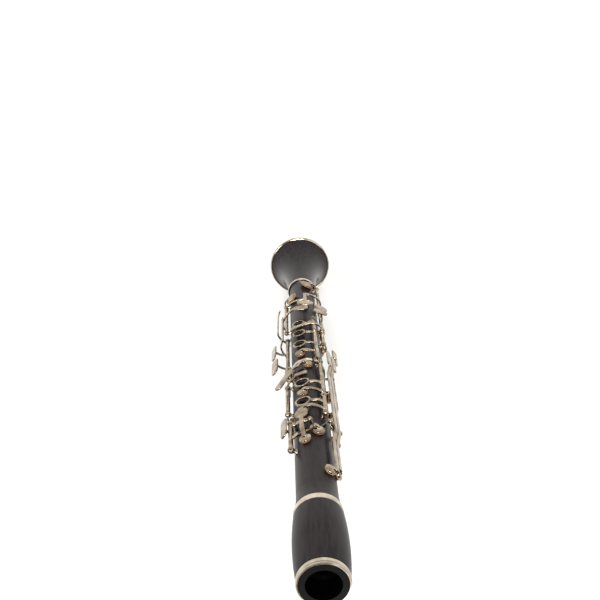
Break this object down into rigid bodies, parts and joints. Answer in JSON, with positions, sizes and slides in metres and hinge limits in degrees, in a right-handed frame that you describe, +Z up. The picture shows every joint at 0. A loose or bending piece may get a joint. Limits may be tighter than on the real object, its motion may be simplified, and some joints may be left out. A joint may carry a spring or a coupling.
{
  "type": "soprano clarinet body",
  "caption": "Boehm-system soprano clarinet without its mouthpiece: dark wooden body in joined sections, bell, plated rings and sprung keys on rods and posts",
  "frame": {"origin": "centre of the bell's rim face, on the surface that the clarinet stands on", "axes": "+Z up the bore towards the mouthpiece socket, -Y is the front with the finger holes, -X is the player's right"},
  "size_m": [0.08, 0.08, 0.593],
  "materials": {
    "body_wood": "dark grenadilla, oiled and polished to a satin sheen",
    "plated_metal": "nickel silver, plated and polished, warm",
    "steel": "hardened steel, ground",
    "spring_steel": "blued needle steel",
    "cork": "waxed sheet cork",
    "pad": "tan leather over felt"
  },
  "bodies": {
    "body": {"barrel": "body_wood", "upper_joint": "body_wood", "lower_joint": "body_wood", "bell": "body_wood", "barrel_top_ring": "plated_metal", "barrel_bottom_ring": "plated_metal", "lower_joint_top_ring": "plated_metal", "bell_top_ring": "plated_metal", "bell_rim_ring": "plated_metal", "tenon_corks": "cork", "thumb_tube": "plated_metal", "register_tube": "plated_metal", "thumb_rest": "plated_metal", "thumb_rest_screws": "steel", "upper_posts": "plated_metal", "lower_posts": "plated_metal", "upper_hinge_rods": "steel", "lower_hinge_rods": "steel", "pivot_screws": "steel", "needle_springs": "spring_steel"},
    "throat_a_key": {"throat_a_key": "plated_metal", "throat_a_pad": "pad"},
    "throat_gsharp_key": {"throat_gsharp_key": "plated_metal", "throat_gsharp_pad": "pad"},
    "register_key": {"register_key": "plated_metal", "register_pad": "pad"},
    "thumb_ring_key": {"thumb_ring_key": "plated_metal"},
    "index_ring_key": {"index_ring_key": "plated_metal", "index_ring_pad": "pad"},
    "middle_ring_key": {"middle_ring_key": "plated_metal", "middle_ring_pad": "pad"},
    "upper_sliver_key": {"upper_sliver_key": "plated_metal", "upper_sliver_pad": "pad"},
    "csharp_gsharp_key": {"csharp_gsharp_key": "plated_metal", "csharp_gsharp_pad": "pad"},
    "side_key_1": {"side_key_1": "plated_metal", "side_pad_1": "pad"},
    "side_key_2": {"side_key_2": "plated_metal", "side_pad_2": "pad"},
    "side_key_3": {"side_key_3": "plated_metal", "side_pad_3": "pad"},
    "side_key_4": {"side_key_4": "plated_metal", "side_pad_4": "pad"},
    "rh_ring_key": {"rh_ring_key": "plated_metal", "rh_ring_pad": "pad"},
    "rh_sliver_key": {"rh_sliver_key": "plated_metal", "rh_sliver_pad": "pad"},
    "ab_eb_key": {"ab_eb_key": "plated_metal", "ab_eb_pad": "pad"},
    "f_c_key": {"f_c_key": "plated_metal", "f_c_pad": "pad"},
    "e_b_key": {"e_b_key": "plated_metal", "e_b_pad": "pad"},
    "fsharp_csharp_key": {"fsharp_csharp_key": "plated_metal", "fsharp_csharp_pad": "pad"},
    "lh_fsharp_csharp_lever": {"lh_fsharp_csharp_lever": "plated_metal"},
    "lh_e_b_lever": {"lh_e_b_lever": "plated_metal"}
  },
  "joints": [
    {"name": "throat_a_key_press", "type": "hinge", "parent": "body", "child": "throat_a_key", "pos_m": [0, -0.0215, 0.4435], "axis": [1, 0, 0], "range_deg": [0, 8], "stiffness_Nm_per_rad": 0.05, "springref_deg": -9.17},
    {"name": "register_key_press", "type": "hinge", "parent": "body", "child": "register_key", "pos_m": [0, 0.0211, 0.476], "axis": [-1, 0, 0], "range_deg": [0, 4.5], "stiffness_Nm_per_rad": 0.05, "springref_deg": -9.17},
    {"name": "side_key_1_press", "type": "hinge", "parent": "body", "child": "side_key_1", "pos_m": [-0.01888, 0.00941, 0.348], "axis": [-0.4462, -0.8949, 0], "range_deg": [0, 4], "stiffness_Nm_per_rad": 0.05, "springref_deg": -9.17},
    {"name": "side_key_2_press", "type": "hinge", "parent": "body", "child": "side_key_2", "pos_m": [-0.01888, 0.00941, 0.348], "axis": [-0.4462, -0.8949, 0], "range_deg": [0, 2.2], "stiffness_Nm_per_rad": 0.05, "springref_deg": -9.17},
    {"name": "side_key_3_press", "type": "hinge", "parent": "body", "child": "side_key_3", "pos_m": [-0.02071, -0.00403, 0.44], "axis": [0.1908, -0.9816, 0], "range_deg": [0, 1.8], "stiffness_Nm_per_rad": 0.05, "springref_deg": -9.17},
    {"name": "side_key_4_press", "type": "hinge", "parent": "body", "child": "side_key_4", "pos_m": [-0.02071, -0.00403, 0.44], "axis": [0.1908, -0.9816, 0], "range_deg": [0, 1.8], "stiffness_Nm_per_rad": 0.05, "springref_deg": -9.17},
    {"name": "throat_gsharp_key_press", "type": "hinge", "parent": "body", "child": "throat_gsharp_key", "pos_m": [0.01253, -0.01494, 0.447], "axis": [0, 0, 1], "range_deg": [0, 8.5], "stiffness_Nm_per_rad": 0.05, "springref_deg": -9.17},
    {"name": "thumb_ring_press", "type": "hinge", "parent": "body", "child": "thumb_ring_key", "pos_m": [-0.01617, 0.0109, 0.43], "axis": [0, 0, -1], "range_deg": [0, 5], "stiffness_Nm_per_rad": 0.05, "springref_deg": -9.17},
    {"name": "index_ring_press", "type": "hinge", "parent": "body", "child": "index_ring_key", "pos_m": [-0.01635, -0.01062, 0.41], "axis": [0, 0, 1], "range_deg": [0, 5], "stiffness_Nm_per_rad": 0.05, "springref_deg": -9.17},
    {"name": "middle_ring_press", "type": "hinge", "parent": "body", "child": "middle_ring_key", "pos_m": [-0.01635, -0.01062, 0.365], "axis": [0, 0, 1], "range_deg": [0, 5], "stiffness_Nm_per_rad": 0.05, "springref_deg": -9.17},
    {"name": "upper_sliver_press", "type": "hinge", "parent": "body", "child": "upper_sliver_key", "pos_m": [0.01654, -0.01033, 0.381], "axis": [0, 0, -1], "range_deg": [0, 7], "stiffness_Nm_per_rad": 0.05, "springref_deg": -9.17},
    {"name": "csharp_gsharp_press", "type": "hinge", "parent": "body", "child": "csharp_gsharp_key", "pos_m": [0.01305, -0.01449, 0.342], "axis": [0, 0, 1], "range_deg": [0, 9], "stiffness_Nm_per_rad": 0.05, "springref_deg": -9.17},
    {"name": "rh_ring_press", "type": "hinge", "parent": "body", "child": "rh_ring_key", "pos_m": [-0.01494, -0.01253, 0.275], "axis": [0, 0, 1], "range_deg": [0, 5], "stiffness_Nm_per_rad": 0.05, "springref_deg": -9.17},
    {"name": "rh_sliver_press", "type": "hinge", "parent": "body", "child": "rh_sliver_key", "pos_m": [-0.01939, -0.00204, 0.266], "axis": [0, 0, 1], "range_deg": [0, 5], "stiffness_Nm_per_rad": 0.05, "springref_deg": -9.17},
    {"name": "ab_eb_press", "type": "hinge", "parent": "body", "child": "ab_eb_key", "pos_m": [-0.01949, -0.00068, 0.231], "axis": [0, 0, 1], "range_deg": [0, 8], "stiffness_Nm_per_rad": 0.05, "springref_deg": -9.17},
    {"name": "f_c_press", "type": "hinge", "parent": "body", "child": "f_c_key", "pos_m": [-0.01949, -0.00068, 0.205], "axis": [0, 0, 1], "range_deg": [0, 6.5], "stiffness_Nm_per_rad": 0.05, "springref_deg": -9.17},
    {"name": "e_b_press", "type": "hinge", "parent": "body", "child": "e_b_key", "pos_m": [-0.01949, -0.00068, 0.153], "axis": [0, 0, 1], "range_deg": [0, 8], "stiffness_Nm_per_rad": 0.05, "springref_deg": -9.17},
    {"name": "fsharp_csharp_press", "type": "hinge", "parent": "body", "child": "fsharp_csharp_key", "pos_m": [0.01855, -0.00603, 0.189], "axis": [0, 0, -1], "range_deg": [0, 7], "stiffness_Nm_per_rad": 0.05, "springref_deg": -9.17},
    {"name": "lh_fsharp_csharp_press", "type": "hinge", "parent": "body", "child": "lh_fsharp_csharp_lever", "pos_m": [0.01939, -0.00204, 0.29], "axis": [0, 0, -1], "range_deg": [0, 5.6], "stiffness_Nm_per_rad": 0.05, "springref_deg": -9.17},
    {"name": "lh_e_b_press", "type": "hinge", "parent": "body", "child": "lh_e_b_lever", "pos_m": [0.01939, -0.00204, 0.257], "axis": [0, 0, -1], "range_deg": [0, 16], "stiffness_Nm_per_rad": 0.05, "springref_deg": -9.17}
  ],
  "couplings": [
    {"joint": "lh_e_b_press", "follows": "e_b_press", "ratio": 2},
    {"joint": "lh_fsharp_csharp_press", "follows": "fsharp_csharp_press", "ratio": 0.8}
  ]
}
